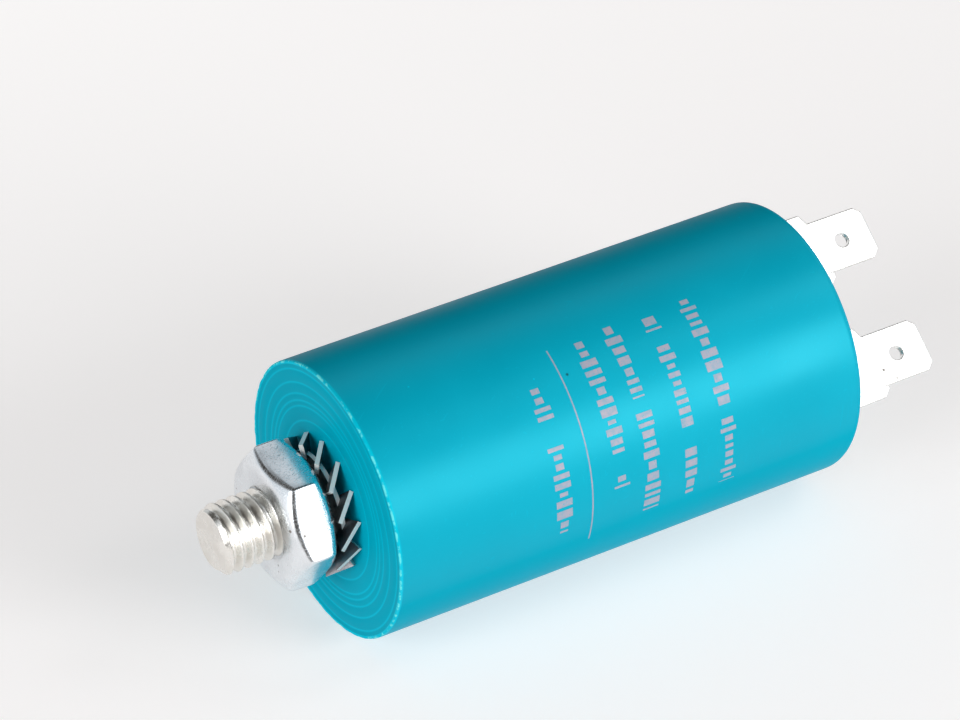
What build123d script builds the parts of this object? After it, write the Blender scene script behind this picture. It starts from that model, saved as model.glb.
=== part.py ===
from build123d import *
import math
import os

# Motor run capacitor, in millimetres. The can's axis is +X, from the stud end to the terminals.
# The origin is on the axis, in the flat end face that the stud leaves.

# Can
can_diameter = 32.0
can_length = 60.0
rim_wall = 1.7
lid_ledge = 0.5
base_thickness = 3.0
base_edge_chamfer = 0.25
rim_outer_round = 0.7
rim_inner_round = 0.4
boss_wall = 1.6
face_groove_width = 0.3
face_groove_depth = 0.12
face_groove_shares = (0.57, 0.675, 0.715, 0.765, 0.845, 0.94)

# Fixing stud and its captive head
thread_diameter = 8.0
thread_pitch = 1.25
pitch_depth_share = 0.325
stud_reach = 14.25
stud_tip_length = 0.75
stud_tip_drop = 0.4
stud_head_across = 13.0
stud_head_thickness = 3.0
stud_clearance = 0.05

# Hexagon nut
nut_across = 14.6
nut_thickness = 5.5
nut_turn_degrees = 64.0
nut_chamfer_degrees = 30.0
nut_face_share = 0.877
nut_mouth_margin = 0.2
thread_clearance = 0.05

# Tooth lock washer
tooth_count = 14
tooth_twist_degrees = 38.0
tooth_turn_degrees = 124.0
tooth_width = 3.7
tooth_root_width = 2.4
tooth_reach = 7.75
tooth_root = 5.7
washer_sheet = 0.5
washer_ring_diameter = 12.4
washer_clearance = 0.2

# Lid
lid_recess = 0.9
lid_thickness = 3.5
lid_clearance = 0.2
lid_top_round = 0.3
pocket_start = 2.2
pocket_side_margin = 0.15
pocket_end_margin = 1.6
pocket_depth = 1.2
pocket_round = 0.6
slot_width = 3.0
slot_length = 11.4
slot_depth = 2.2

# Terminals, folded from one strip each
terminal_roll_degrees = 37.8
terminal_edge_margin = 2.44
sheet = 0.8
tab_width = 6.3
tab_length = 7.3
tab_tip_length = 1.0
tab_tip_width = 0.9
tab_tip_bevel = 0.2
tab_hole_diameter = 1.7
tab_hole_from_tip = 4.05
shoulder_width = 8.8
shoulder_slant = 0.6
lobe_height = 4.4
lobe_round = 0.5
leg_height = 4.7
leg_width = 3.2
notch_width = 0.8
notch_height = 0.9
blade_spacing = 7.0
blade_drop = 2.6
bend_radius = 0.6
pad_width = 6.0
pad_length = 4.4

# Rivets
rivet_diameter = 2.2
rivet_clearance = 0.05
rivet_head_diameter = 3.0
rivet_head_height = 0.7
rivet_head_round = 0.3
rivet_tail_diameter = 3.4
rivet_tail_height = 0.6
rivet_hollow_depth = 1.6

# Wound element, leads and potting
lead_diameter = 0.8
lead_clearance = 0.05
lead_bend = 1.0
lead_start_share = 0.65
sleeve_wall = 0.2
sleeve_end_gap = 1.0
resin_film = 0.1
element_foot_room = 2.4
element_head_room = 4.5
lead_head_room = 1.2
spray_thickness = 0.5
core_diameter = 8.4
core_wall = 0.7
potting_air_gap = 1.0

# Made to run past a face that it cuts
overrun = 1.0

# Worked out from the sizes above
can_radius = can_diameter / 2
mouth_radius = can_radius - rim_wall
bore_radius = mouth_radius - lid_ledge
lid_radius = mouth_radius - lid_clearance
lid_top = can_length - lid_recess
lid_bottom = lid_top - lid_thickness
pocket_floor = lid_top - pocket_depth
thread_radius = thread_diameter / 2
pitch_radius = thread_radius - pitch_depth_share * thread_pitch
boss_top = base_thickness + stud_head_thickness
boss_radius = stud_head_across / 2 / math.cos(math.pi / 6) + stud_clearance + boss_wall
twist = math.radians(tooth_twist_degrees)
washer_height = tooth_width * math.sin(twist) + washer_sheet * math.cos(twist)
nut_face_radius = nut_face_share * nut_across / 2
grip_share = (nut_face_radius - tooth_root) / (tooth_reach - tooth_root)
grip_width = tooth_root_width + grip_share * (tooth_width - tooth_root_width)
grip_height = grip_width * math.sin(twist) + washer_sheet * math.cos(twist)
nut_back = -(washer_height + grip_height) / 2
nut_front = nut_back - nut_thickness
terminal_offset = lid_radius - terminal_edge_margin - shoulder_width / 2
lobe_edge = pocket_floor + leg_height
shoulder_edge = lobe_edge + lobe_height
tab_tip = shoulder_edge + tab_length
lead_radius = lead_diameter / 2
sleeve_radius = lead_radius + sleeve_wall
winding_radius = bore_radius - 2 * (resin_film + sleeve_radius)
run_radius = winding_radius + resin_film + sleeve_radius
spray_start = boss_top + element_foot_room
winding_start = spray_start + spray_thickness
winding_end = lid_bottom - element_head_room
spray_end = winding_end + spray_thickness
core_radius = core_diameter / 2
potting_top = lid_bottom - potting_air_gap
lead_top = lid_bottom - rivet_tail_height + rivet_hollow_depth


# Shapes used by more than one piece
def disc(radius, start, end):
    return extrude(Plane.YZ.offset(start) * Circle(radius), amount=end - start)


def ring(outer, inner, start, end):
    return disc(outer, start, end) - disc(inner, start, end)


def turned(*points):
    return revolve(make_face(Polyline(*points, close=True)), Axis.X)


def hexagon(across, start, end, turn_degrees=0):
    outline = RegularPolygon(across / 2, 6, major_radius=False, rotation=turn_degrees)
    return extrude(Plane.YZ.offset(start) * outline, amount=end - start)


def block(x_span, y_span, z_span):
    spans = (x_span, y_span, z_span)
    size = [high - low for low, high in spans]
    middle = [(low + high) / 2 for low, high in spans]
    return Pos(*middle) * Box(*size)


# The terminal end is turned about the can's axis as it lies
def rolled(shape):
    return Rot(terminal_roll_degrees, 0, 0) * shape


# Moulded cup with fine turned rings in its end face and a hexagon seat for the stud's head
def can():
    hole = pitch_radius + stud_clearance
    face = [(0, hole)]
    for share in face_groove_shares:
        radius = share * can_radius
        face += [
            (0, radius - face_groove_width / 2),
            (face_groove_depth, radius),
            (0, radius + face_groove_width / 2),
        ]
    cup = turned(
        *face,
        (0, can_radius - base_edge_chamfer),
        (base_edge_chamfer, can_radius),
        (can_length, can_radius),
        (can_length, mouth_radius),
        (lid_bottom, mouth_radius),
        (lid_bottom, bore_radius),
        (base_thickness, bore_radius),
        (base_thickness, boss_radius),
        (boss_top, boss_radius),
        (boss_top, hole),
    )
    cup -= hexagon(stud_head_across + 2 * stud_clearance, base_thickness, boss_top)
    outer_edge = cup.edges().group_by(Axis.X)[-1].sort_by(SortBy.RADIUS)[-1]
    cup = fillet(outer_edge, min(rim_outer_round, rim_wall / 2))
    inner_edge = cup.edges().group_by(Axis.X)[-1].sort_by(SortBy.RADIUS)[0]
    return fillet(inner_edge, min(rim_inner_round, rim_wall / 3))


# The thread's free end has its outside diameter, and the rest its pitch diameter
def stud():
    shank = turned(
        (-stud_reach, 0),
        (-stud_reach, thread_radius - stud_tip_drop),
        (stud_tip_length - stud_reach, thread_radius),
        (nut_front, thread_radius),
        (nut_front, pitch_radius),
        (base_thickness, pitch_radius),
        (base_thickness, 0),
    )
    return shank + hexagon(stud_head_across, base_thickness, boss_top)


# Hexagon with a cone turned on each face and a bore that opens at both ends
def hex_nut():
    full_radius = nut_across / 2 / math.cos(math.pi / 6) + overrun
    cone = (full_radius - nut_face_radius) * math.tan(math.radians(nut_chamfer_degrees))
    bore = pitch_radius + thread_clearance
    mouth = thread_radius + nut_mouth_margin
    envelope = turned(
        (nut_front, mouth),
        (nut_front, nut_face_radius),
        (nut_front + cone, full_radius),
        (nut_back - cone, full_radius),
        (nut_back, nut_face_radius),
        (nut_back, mouth),
        (nut_back - (mouth - bore), bore),
        (nut_front + (mouth - bore), bore),
    )
    return envelope & hexagon(nut_across, nut_front, nut_back, nut_turn_degrees)


# Flat ring with teeth that twist until they bear on the can and the nut
def tooth_washer():
    middle = -washer_height / 2
    plan = Polyline(
        (tooth_root, -tooth_root_width / 2),
        (tooth_reach, -tooth_width / 2),
        (tooth_reach, tooth_width / 2),
        (tooth_root, tooth_root_width / 2),
        close=True,
    )
    tooth = extrude(Plane.YZ * make_face(plan), amount=washer_sheet / 2, both=True)
    tooth = Pos(middle, 0, 0) * Rot(0, -tooth_twist_degrees, 0) * tooth
    washer = ring(
        washer_ring_diameter / 2,
        thread_radius + washer_clearance,
        middle - washer_sheet / 2,
        middle + washer_sheet / 2,
    )
    for tooth_number in range(tooth_count):
        turn = tooth_turn_degrees + tooth_number * 360 / tooth_count
        washer += Rot(turn, 0, 0) * tooth
    return washer


# Let-in cover with two pockets for the terminals and a blind slot between them
def lid():
    cover = disc(lid_radius, lid_bottom, lid_top)
    cover = fillet(cover.edges().group_by(Axis.X)[-1], lid_top_round)
    pocket_end = terminal_offset + shoulder_width / 2 + pocket_side_margin
    pocket_reach = blade_spacing / 2 + sheet / 2 + pocket_end_margin
    hole = rivet_diameter / 2 + rivet_clearance
    for side in (-1, 1):
        across = sorted((side * pocket_start, side * pocket_end))
        pocket = block((pocket_floor, lid_top + overrun), across, (-pocket_reach, pocket_reach))
        cover -= fillet(pocket.edges().filter_by(Axis.X), pocket_round)
        cover -= Pos(0, side * terminal_offset, 0) * disc(hole, lid_bottom - overrun, lid_top)
    slot_across = (-slot_width / 2, slot_width / 2)
    slot_along = (-slot_length / 2, slot_length / 2)
    cover -= block((lid_top - slot_depth, lid_top + overrun), slot_across, slot_along)
    return rolled(cover)


# One blade: a tab on wider shoulders, with a relief notch each side of its leg
def blade():
    half = [
        (lobe_edge, leg_width / 2),
        (lobe_edge, shoulder_width / 2),
        (shoulder_edge - shoulder_slant, shoulder_width / 2),
        (shoulder_edge, tab_width / 2),
        (tab_tip - tab_tip_length, tab_width / 2),
        (tab_tip, tab_width / 2 - tab_tip_width),
    ]
    outline = half + [(x, -y) for x, y in reversed(half)]
    plate = extrude(make_face(Polyline(*outline, close=True)), amount=sheet / 2, both=True)
    tip_edges = plate.edges().filter_by(Axis.Y).group_by(Axis.X)[-1]
    plate = chamfer(tip_edges, min(tab_tip_bevel, sheet / 3))
    lobe_corners = plate.edges().filter_by(Axis.Z).group_by(Axis.X)[0].sort_by(Axis.Y)
    plate = fillet([lobe_corners[0], lobe_corners[-1]], lobe_round)
    plate -= Pos(tab_tip - tab_hole_from_tip, 0, 0) * Cylinder(tab_hole_diameter / 2, sheet)
    for side in (-1, 1):
        middle = side * (leg_width + notch_width) / 2
        plate -= Pos(lobe_edge, middle, 0) * Box(2 * notch_height, notch_width, sheet)
        plate -= Pos(lobe_edge + notch_height, middle, 0) * Cylinder(notch_width / 2, sheet)
    return plate


# A strip bent up at both ends, each end carrying a blade, one lower, with a riveted pad between them
def terminal():
    outer = blade_spacing / 2 + sheet / 2
    inner = outer - sheet
    strip_top = lobe_edge + notch_height

    def trough(floor, reach, radius):
        outline = Rectangle(strip_top - floor, 2 * reach)
        outline = Pos((strip_top + floor) / 2, 0) * outline
        return fillet(outline.vertices().group_by(Axis.X)[0], radius)

    bent = trough(pocket_floor, outer, bend_radius + sheet)
    bent -= trough(pocket_floor + sheet, inner, bend_radius)
    strip = extrude(Plane.XZ * bent, amount=leg_width / 2, both=True)
    strip += Pos(0, 0, blade_spacing / 2) * blade()
    strip += Pos(-blade_drop, 0, -blade_spacing / 2) * blade()
    strip += block(
        (pocket_floor, pocket_floor + sheet),
        (-pad_width / 2, pad_width / 2),
        (-pad_length / 2, pad_length / 2),
    )
    hole = rivet_diameter / 2 + rivet_clearance
    return strip - disc(hole, pocket_floor, pocket_floor + sheet)


# Headed above the terminal's pad, spread under the lid, hollow for its lead
def rivet():
    seat = pocket_floor + sheet
    head_radius = rivet_head_diameter / 2
    shank_radius = rivet_diameter / 2
    tail_radius = rivet_tail_diameter / 2
    hollow_radius = lead_radius + lead_clearance
    tail = lid_bottom - rivet_tail_height
    return turned(
        (tail, hollow_radius),
        (tail, tail_radius),
        (lid_bottom, tail_radius),
        (lid_bottom, shank_radius),
        (seat, shank_radius),
        (seat, head_radius),
        (seat + rivet_head_height - rivet_head_round, head_radius),
        (seat + rivet_head_height, head_radius - rivet_head_round),
        (seat + rivet_head_height, 0),
        (lead_top, 0),
        (lead_top, hollow_radius),
    )


# From the stud-end zinc layer, outside the winding, to the upper rivet
def lead_long():
    start_radius = lead_start_share * winding_radius
    turn_back = spray_start - lead_bend - lead_radius
    crossing = spray_end + lead_head_room
    route = FilletPolyline(
        (spray_start, start_radius),
        (turn_back, start_radius),
        (turn_back, run_radius),
        (crossing, run_radius),
        (crossing, terminal_offset),
        (lead_top, terminal_offset),
        radius=lead_bend,
    )
    return rolled(sweep(Plane(route @ 0, z_dir=route % 0) * Circle(lead_radius), path=route))


# From the terminal-end zinc layer straight to the lower rivet
def lead_short():
    return rolled(Pos(0, -terminal_offset, 0) * disc(lead_radius, spray_end, lead_top))


# Insulation on the long lead where it passes the winding
def lead_sleeve():
    start = winding_start + sleeve_end_gap
    end = winding_end - sleeve_end_gap
    return rolled(Pos(0, run_radius, 0) * ring(sleeve_radius, lead_radius, start, end))


# Cast resin around everything in the can
def potting(inside):
    resin = disc(bore_radius, base_thickness, potting_top) - disc(boss_radius, base_thickness, boss_top)
    for piece in inside:
        resin -= piece
    return resin


pieces = {
    "can": can(),
    "stud": stud(),
    "hex_nut": hex_nut(),
    "tooth_washer": tooth_washer(),
    "lid": lid(),
    "terminal_lower": rolled(Pos(0, -terminal_offset, 0) * terminal()),
    "terminal_upper": rolled(Pos(0, terminal_offset, 0) * terminal()),
    "rivet_lower": rolled(Pos(0, -terminal_offset, 0) * rivet()),
    "rivet_upper": rolled(Pos(0, terminal_offset, 0) * rivet()),
}
element = {
    "core_tube": ring(core_radius, core_radius - core_wall, spray_start, spray_end),
    "winding": ring(winding_radius, core_radius, winding_start, winding_end),
    "end_spray_stud": ring(winding_radius, core_radius, spray_start, winding_start),
    "end_spray_terminal": ring(winding_radius, core_radius, winding_end, spray_end),
    "lead_long": lead_long(),
    "lead_short": lead_short(),
    "lead_sleeve": lead_sleeve(),
}
pieces.update(element)
pieces["potting"] = potting(element.values())

os.makedirs("parts", exist_ok=True)
for name, shape in pieces.items():
    export_step(shape, f"parts/{name}.step")
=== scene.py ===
"""Looks of a motor run capacitor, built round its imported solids.

Lengths are in metres, in the part's own frame: +X runs along the can's axis from the stud end to the terminals,
+Z is up, and the can lies on its side.
"""

import logging
import math
import random
from dataclasses import dataclass
from enum import Enum
from typing import Callable, Iterable, Sequence

import bmesh
import bpy
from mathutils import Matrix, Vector, noise


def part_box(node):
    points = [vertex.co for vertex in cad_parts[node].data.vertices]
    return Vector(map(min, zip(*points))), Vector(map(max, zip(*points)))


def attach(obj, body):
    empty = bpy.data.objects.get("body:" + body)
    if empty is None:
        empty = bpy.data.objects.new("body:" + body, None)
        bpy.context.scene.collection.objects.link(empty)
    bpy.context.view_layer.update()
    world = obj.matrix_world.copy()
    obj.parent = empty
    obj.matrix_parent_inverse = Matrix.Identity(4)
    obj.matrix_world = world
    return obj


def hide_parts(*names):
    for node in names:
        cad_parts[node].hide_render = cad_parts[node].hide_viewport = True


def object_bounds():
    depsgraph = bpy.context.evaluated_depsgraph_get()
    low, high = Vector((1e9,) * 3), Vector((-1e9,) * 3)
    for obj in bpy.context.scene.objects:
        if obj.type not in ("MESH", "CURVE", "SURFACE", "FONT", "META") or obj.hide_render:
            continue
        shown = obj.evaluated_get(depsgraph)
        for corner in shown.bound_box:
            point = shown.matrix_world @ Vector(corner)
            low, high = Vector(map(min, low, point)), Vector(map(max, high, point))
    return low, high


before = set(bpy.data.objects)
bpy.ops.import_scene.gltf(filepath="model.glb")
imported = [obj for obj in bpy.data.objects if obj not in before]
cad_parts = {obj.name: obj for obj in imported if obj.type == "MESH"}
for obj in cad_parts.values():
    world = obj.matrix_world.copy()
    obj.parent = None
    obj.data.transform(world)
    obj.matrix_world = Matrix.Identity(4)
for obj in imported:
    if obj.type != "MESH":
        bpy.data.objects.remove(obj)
CAD_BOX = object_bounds()
NODE_BOX = {node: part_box(node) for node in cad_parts}

MM = 0.001
BODY = "root"
LOG = logging.getLogger("capacitor")

Point = tuple[float, float]
Span = tuple[float, float]
Colour = tuple[float, float, float]
Direction = tuple[float, float, float]

TEAL: Colour = (0.0, 0.385, 0.53)
TEAL_SHADE: Colour = (0.0, 0.365, 0.505)

DOUBLE_GAP = 0.0005 * MM
SOLID_DOUBLE_GAP = 0.001 * MM
FLAT_ANGLE = math.radians(0.5)
HARD_ANGLE = math.radians(40.0)
FLAT_WEIGHT = 100

SCRATCH_TURNS = (0.35, -0.6, 1.5)
SCRATCH_FADE = 0.06
THREAD_FLANK = (0.14, 0.80)
THREAD_DOUBLE_GAP = 0.0002 * MM
TWIST_SPAN = (-0.6, 0.45)
TOOTH_STEPS = 9
RING_STEPS = 96


class Noise(Enum):
    """Width of the detail in a surface's mottling, as noise scales per metre."""

    CLOUD = 70.0
    SMEAR = 350.0
    GRAIN = 2600.0
    FINE = 7000.0


class Sharp(Enum):
    """Angle in degrees past which an edge is drawn sharp."""

    TURNED = 28.0
    FOLDED = 32.0
    THREAD = 50.0


# Node trees


class Graph:
    """A node tree that is written from left to right."""

    def __init__(self, tree: bpy.types.NodeTree) -> None:
        """Keep the tree to write in."""
        self.tree = tree

    def add(self, kind: str, inputs: dict | None = None, **settings: object) -> bpy.types.Node:
        """Add a node.

        Args:
            kind: The node's type name.
            inputs: Values or sockets for its inputs, by name or number.
            settings: The node's own options.

        Returns:
            The new node.
        """
        node = self.tree.nodes.new(kind)
        for key, value in settings.items():
            setattr(node, key, value)
        for key, value in (inputs or {}).items():
            self.feed(node.inputs[key], value)
        return node

    def feed(self, socket: bpy.types.NodeSocket, value: object) -> None:
        """Link an input to a socket, or set its value.

        Args:
            socket: The input.
            value: The socket to link, or the value.
        """
        if isinstance(value, bpy.types.NodeSocket):
            self.tree.links.new(value, socket)
        else:
            socket.default_value = value

    def math(self, operation: str, *values: object, clamp: bool = False) -> bpy.types.NodeSocket:
        """Return one Math node's result."""
        node = self.add("ShaderNodeMath", dict(enumerate(values)), operation=operation, use_clamp=clamp)
        return node.outputs[0]

    def line(self, *values: object, kind: str = "LINEAR") -> bpy.types.NodeSocket:
        """Map a value from one range to another, clamped.

        Args:
            values: The value, the range's ends, and the new range's ends, which are 0 and 1 unless given.
            kind: How it is mapped.

        Returns:
            The new value.
        """
        return self.add("ShaderNodeMapRange", dict(enumerate(values)), interpolation_type=kind).outputs[0]

    def ramp(self, *values: object) -> bpy.types.NodeSocket:
        """Return a value mapped as line does, but smoothly."""
        return self.line(*values, kind="SMOOTHSTEP")

    def mix(self, factor: object, first: object, second: object) -> bpy.types.NodeSocket:
        """Return a mix of two colours."""
        node = self.add("ShaderNodeMix", {0: factor, 6: first, 7: second}, data_type="RGBA")
        return node.outputs[2]

    def noise(self, vector: object, scale: object, detail: float = 2.0) -> bpy.types.NodeSocket:
        """Return a noise texture's value."""
        return self.add("ShaderNodeTexNoise", {"Vector": vector, "Scale": scale, "Detail": detail}).outputs[0]

    def bump(self, shader: bpy.types.Node, strength: float, distance: float, height: object) -> None:
        """Give a shader a normal that follows a height."""
        inputs = {"Strength": strength, "Distance": distance, "Height": height}
        self.feed(shader.inputs["Normal"], self.add("ShaderNodeBump", inputs).outputs[0])


def rgba(colour: Colour) -> tuple[float, float, float, float]:
    """Return a linear colour with full alpha."""
    return (*colour, 1.0)


def shader_group(name: str, inputs: Sequence[str], outputs: Sequence[str]) -> tuple[Graph, bpy.types.Node, dict]:
    """Start a shader node group with value sockets.

    Args:
        name: The group's name.
        inputs: The names of its inputs.
        outputs: The names of its outputs.

    Returns:
        Its graph, its output node and its input sockets by name.
    """
    tree = bpy.data.node_groups.new(name, "ShaderNodeTree")
    for side, names in (("INPUT", inputs), ("OUTPUT", outputs)):
        for socket_name in names:
            tree.interface.new_socket(socket_name, in_out=side, socket_type="NodeSocketFloat")
    graph = Graph(tree)
    entry = graph.add("NodeGroupInput")
    return graph, graph.add("NodeGroupOutput"), {key: entry.outputs[key] for key in inputs}


def mottle_group() -> bpy.types.NodeTree:
    """Cloudy shade and fine grain over a surface.

    Returns:
        The group.
    """
    graph, end, given = shader_group("mottle", ("Cloud", "Grain"), ("Shade", "Height"))
    place = graph.add("ShaderNodeTexCoord").outputs["Object"]
    cloud = graph.noise(place, given["Cloud"], 4.0)
    grain = graph.noise(place, given["Grain"], 3.0)
    graph.feed(end.inputs["Shade"], graph.ramp(cloud, 0.3, 0.7))
    graph.feed(end.inputs["Height"], grain)
    return graph.tree


def scratch_group() -> bpy.types.NodeTree:
    """Short fine scratches in three directions.

    Returns:
        The group.
    """
    graph, end, given = shader_group("scratches", ("Length", "Width", "Rarity"), ("Mask",))
    place = graph.add("ShaderNodeTexCoord").outputs["Object"]
    scale = graph.add("ShaderNodeCombineXYZ", {0: given["Length"], 1: given["Width"], 2: given["Width"]})
    full = graph.math("ADD", given["Rarity"], SCRATCH_FADE)
    mask: object = 0.0
    for turn in SCRATCH_TURNS:
        turned_place = graph.add("ShaderNodeMapping", {"Vector": place, "Rotation": (turn, turn / 3, turn)})
        both = {0: turned_place.outputs[0], 1: scale.outputs[0]}
        stretched = graph.add("ShaderNodeVectorMath", both, operation="MULTIPLY")
        streak = graph.noise(stretched.outputs[0], 1.0, 0.0)
        mask = graph.math("MAXIMUM", mask, graph.ramp(streak, given["Rarity"], full))
    graph.feed(end.inputs["Mask"], mask)
    return graph.tree


def speck_group() -> bpy.types.NodeTree:
    """Rare small round specks.

    Returns:
        The group.
    """
    graph, end, given = shader_group("specks", ("Scale", "Size", "Share"), ("Mask",))
    place = graph.add("ShaderNodeTexCoord").outputs["Object"]
    cells = graph.add("ShaderNodeTexVoronoi", {"Vector": place, "Scale": given["Scale"]})
    chance = graph.add("ShaderNodeSeparateColor", {0: cells.outputs["Color"]}).outputs[0]
    chosen = graph.math("LESS_THAN", chance, given["Share"])
    inner = graph.math("MULTIPLY", given["Size"], 0.5)
    spot = graph.ramp(cells.outputs["Distance"], inner, given["Size"], 1.0, 0.0)
    graph.feed(end.inputs["Mask"], graph.math("MULTIPLY", spot, chosen))
    return graph.tree


class Effects:
    """The shader groups that more than one finish uses, each built once."""

    def __init__(self) -> None:
        """Build the groups."""
        self.mottle = mottle_group()
        self.scratches = scratch_group()
        self.specks = speck_group()

    @staticmethod
    def place(graph: Graph, group: bpy.types.NodeTree, **values: float) -> dict[str, bpy.types.NodeSocket]:
        """Put a group into a material.

        Args:
            graph: The material's graph.
            group: The group to place.
            values: Values for its inputs, with names in lower case.

        Returns:
            Its output sockets by name.
        """
        node = graph.add("ShaderNodeGroup", node_tree=group)
        for key, value in values.items():
            node.inputs[key.capitalize()].default_value = value
        return {socket.name: socket for socket in node.outputs}


def new_material(name: str) -> tuple[bpy.types.Material, Graph, bpy.types.Node]:
    """Start a node material.

    Args:
        name: The material's name.

    Returns:
        The material, its graph and its Principled shader.
    """
    material = bpy.data.materials.new(name)
    material.use_nodes = True
    graph = Graph(material.node_tree)
    return material, graph, material.node_tree.nodes["Principled BSDF"]


# Finishes


@dataclass(frozen=True)
class WaxyPlastic:
    """Moulded plastic with a soft shine, pale scuffs, a few specks and pale paint on marked edges and grooves, partly
    painted highlight.
    """

    name: str
    colour: Colour
    shade: Colour
    # Scuff colour on the can's burred edge, partly painted highlight.
    scuff_and_edge_highlight: Colour = (0.15, 0.80, 0.82)
    pale: Colour = (0.0, 0.54, 0.71)
    speck: Colour = (0.004, 0.06, 0.08)
    shine: Colour = (0.10, 0.80, 0.90)
    roughness: float = 0.36
    roughness_spread: float = 0.04
    specular: float = 0.54
    grazing_specular: float = 0.01
    facing_span: Span = (0.2, 0.55)
    broken_span: Span = (0.35, 0.65)
    broken_least: float = 0.15
    pale_span: Span = (0.0, 0.35)
    scuff_and_edge_highlight_span: Span = (0.4, 0.9)
    scratch_paleness: float = 0.10
    scratch_roughness: float = 0.12
    scratch_depth: float = 0.5
    dust_paleness: float = 0.25
    bump: float = 0.05
    bump_depth: float = 0.02 * MM

    def build(self, effects: Effects) -> bpy.types.Material:
        """Make the material.

        Args:
            effects: The shared shader groups.

        Returns:
            The material.
        """
        material, graph, shader = new_material(self.name)
        mottle = effects.place(graph, effects.mottle, cloud=Noise.CLOUD.value, grain=Noise.GRAIN.value)
        scratch = effects.place(graph, effects.scratches, length=110.0, width=4600.0, rarity=0.77)["Mask"]
        speck = effects.place(graph, effects.specks, scale=240.0, size=0.07, share=0.02)["Mask"]
        dust = effects.place(graph, effects.specks, scale=520.0, size=0.08, share=0.03)["Mask"]
        # Pale paint from the mesh's edge attribute: on the can's edge it is partly whitened burr and partly painted
        # highlight, in the end-face grooves it is painted highlight, and on the lid's edges it is rubbing.
        wear_and_painted_light = graph.add("ShaderNodeAttribute", attribute_name="wear_and_painted_light").outputs["Fac"]
        place = graph.add("ShaderNodeTexCoord").outputs["Object"]
        patches = graph.noise(place, Noise.GRAIN.value / 2, 3.0)
        broken = graph.ramp(patches, *self.broken_span, self.broken_least, 1.0)
        scratched = graph.math("MULTIPLY", scratch, self.scratch_paleness)
        pale = graph.math("MAXIMUM", scratched, graph.math("MULTIPLY", dust, self.dust_paleness))
        pale = graph.ramp(graph.math("MAXIMUM", pale, wear_and_painted_light), *self.pale_span)
        scuffed_and_lit = graph.ramp(graph.math("MULTIPLY", wear_and_painted_light, broken), *self.scuff_and_edge_highlight_span)
        base = graph.mix(mottle["Shade"], rgba(self.shade), rgba(self.colour))
        base = graph.mix(pale, base, rgba(self.pale))
        base = graph.mix(scuffed_and_lit, base, rgba(self.scuff_and_edge_highlight))
        base = graph.mix(speck, base, rgba(self.speck))
        graph.feed(shader.inputs["Base Color"], base)
        facing = graph.add("ShaderNodeLayerWeight", {"Blend": 0.5}).outputs["Facing"]
        shine = graph.ramp(facing, *self.facing_span, self.specular, self.grazing_specular)
        graph.feed(shader.inputs["Specular IOR Level"], shine)
        shader.inputs["Specular Tint"].default_value = rgba(self.shine)
        least, most = self.roughness - self.roughness_spread, self.roughness + self.roughness_spread
        soft = graph.line(mottle["Shade"], 0.0, 1.0, least, most)
        rough = graph.math("ADD", soft, graph.math("MULTIPLY", scratch, self.scratch_roughness))
        graph.feed(shader.inputs["Roughness"], rough)
        height = graph.math("SUBTRACT", mottle["Height"], graph.math("MULTIPLY", scratch, self.scratch_depth))
        graph.bump(shader, self.bump, self.bump_depth, height)
        return material


@dataclass(frozen=True)
class PlatedMetal:
    """Bright plated metal with smears, fine scratches, a few dark spots and an edge colour on marked faces, which is
    painted highlight on the washer and painted shade on the tabs.
    """

    name: str
    colour: Colour
    shade: Colour
    roughness: float = 0.2
    # Pale default edge colour, a painted highlight on the washer's teeth.
    edge: Colour = (0.95, 0.94, 0.91)
    edge_metallic: float = 0.15
    smear_roughness: float = 0.08
    spot: Colour = (0.16, 0.12, 0.09)
    spot_share: float = 0.04
    spot_strength: float = 0.8
    spot_roughness: float = 0.3
    scratched: float = 0.15
    bump: float = 0.12
    bump_depth: float = 0.01 * MM

    def build(self, effects: Effects) -> bpy.types.Material:
        """Make the material.

        Args:
            effects: The shared shader groups.

        Returns:
            The material.
        """
        material, graph, shader = new_material(self.name)
        smear = effects.place(graph, effects.mottle, cloud=Noise.SMEAR.value, grain=Noise.FINE.value)
        scratch = effects.place(graph, effects.scratches, length=400.0, width=9000.0, rarity=0.68)["Mask"]
        spot = effects.place(graph, effects.specks, scale=900.0, size=0.22, share=self.spot_share)["Mask"]
        wear_and_painted_light = graph.add("ShaderNodeAttribute", attribute_name="wear_and_painted_light").outputs["Fac"]
        base = graph.mix(smear["Shade"], rgba(self.shade), rgba(self.colour))
        # Marked faces take the edge colour: painted highlight on the washer's teeth, painted shade on the tabs' upward
        # bevels.
        base = graph.mix(wear_and_painted_light, base, rgba(self.edge))
        base = graph.mix(graph.math("MULTIPLY", spot, self.spot_strength), base, rgba(self.spot))
        graph.feed(shader.inputs["Base Color"], base)
        graph.feed(shader.inputs["Metallic"], graph.line(wear_and_painted_light, 0.0, 1.0, 1.0, self.edge_metallic))
        rough = graph.line(smear["Shade"], 0.0, 1.0, self.roughness + self.smear_roughness, self.roughness)
        rough = graph.math("ADD", rough, graph.math("MULTIPLY", scratch, self.scratched))
        rough = graph.math("ADD", rough, graph.math("MULTIPLY", spot, self.spot_roughness), clamp=True)
        graph.feed(shader.inputs["Roughness"], rough)
        height = graph.math("SUBTRACT", smear["Height"], graph.math("MULTIPLY", scratch, 2.0 * self.scratched))
        graph.bump(shader, self.bump, self.bump_depth, height)
        return material


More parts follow.
